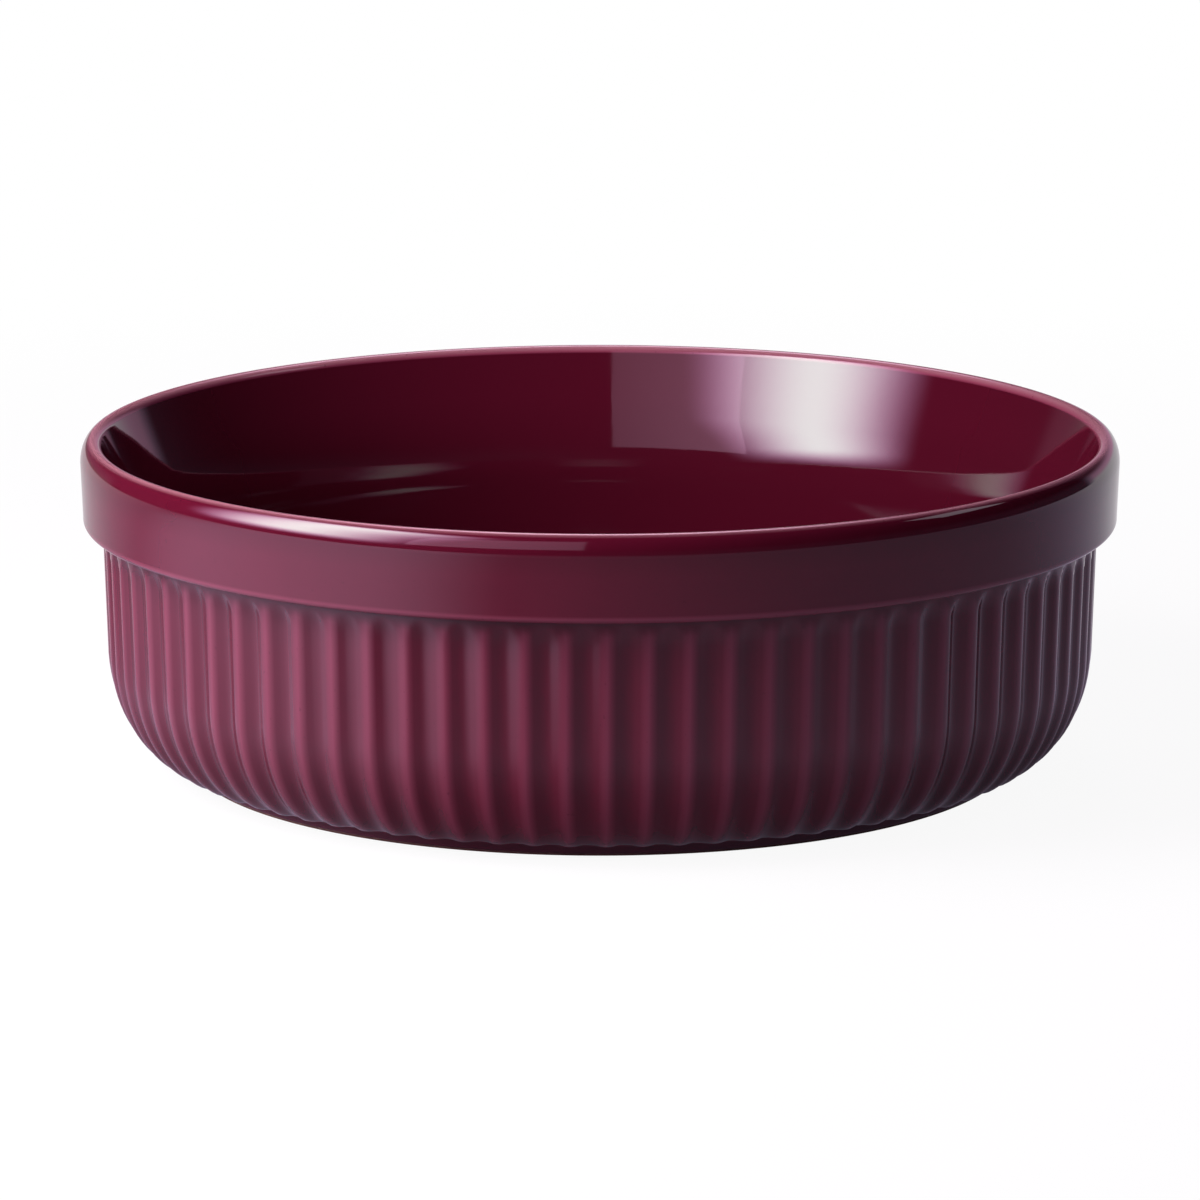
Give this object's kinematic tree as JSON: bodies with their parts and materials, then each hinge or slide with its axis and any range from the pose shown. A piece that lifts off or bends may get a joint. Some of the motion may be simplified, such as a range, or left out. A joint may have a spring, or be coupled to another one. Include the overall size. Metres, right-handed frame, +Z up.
{
  "type": "round baking dish",
  "caption": "Round stoneware baking dish with a plain overhanging rim band, a fluted wall that curves under to a foot ring, and a glossy wine-red glaze inside and out.",
  "frame": {"origin": "on the dish's axis, in the plane that the foot ring stands on", "axes": "+Z up along the dish's axis, out of its mouth; X and Y lie in the plane of the foot"},
  "size_m": [0.26, 0.26, 0.083],
  "materials": {
    "clay": "matt fired stoneware",
    "glaze": "glossy wine-red glaze"
  },
  "bodies": {
    "root": {"stoneware_body": "clay", "glaze_coat": "glaze", "underside_glaze": "glaze"}
  },
  "joints": []
}
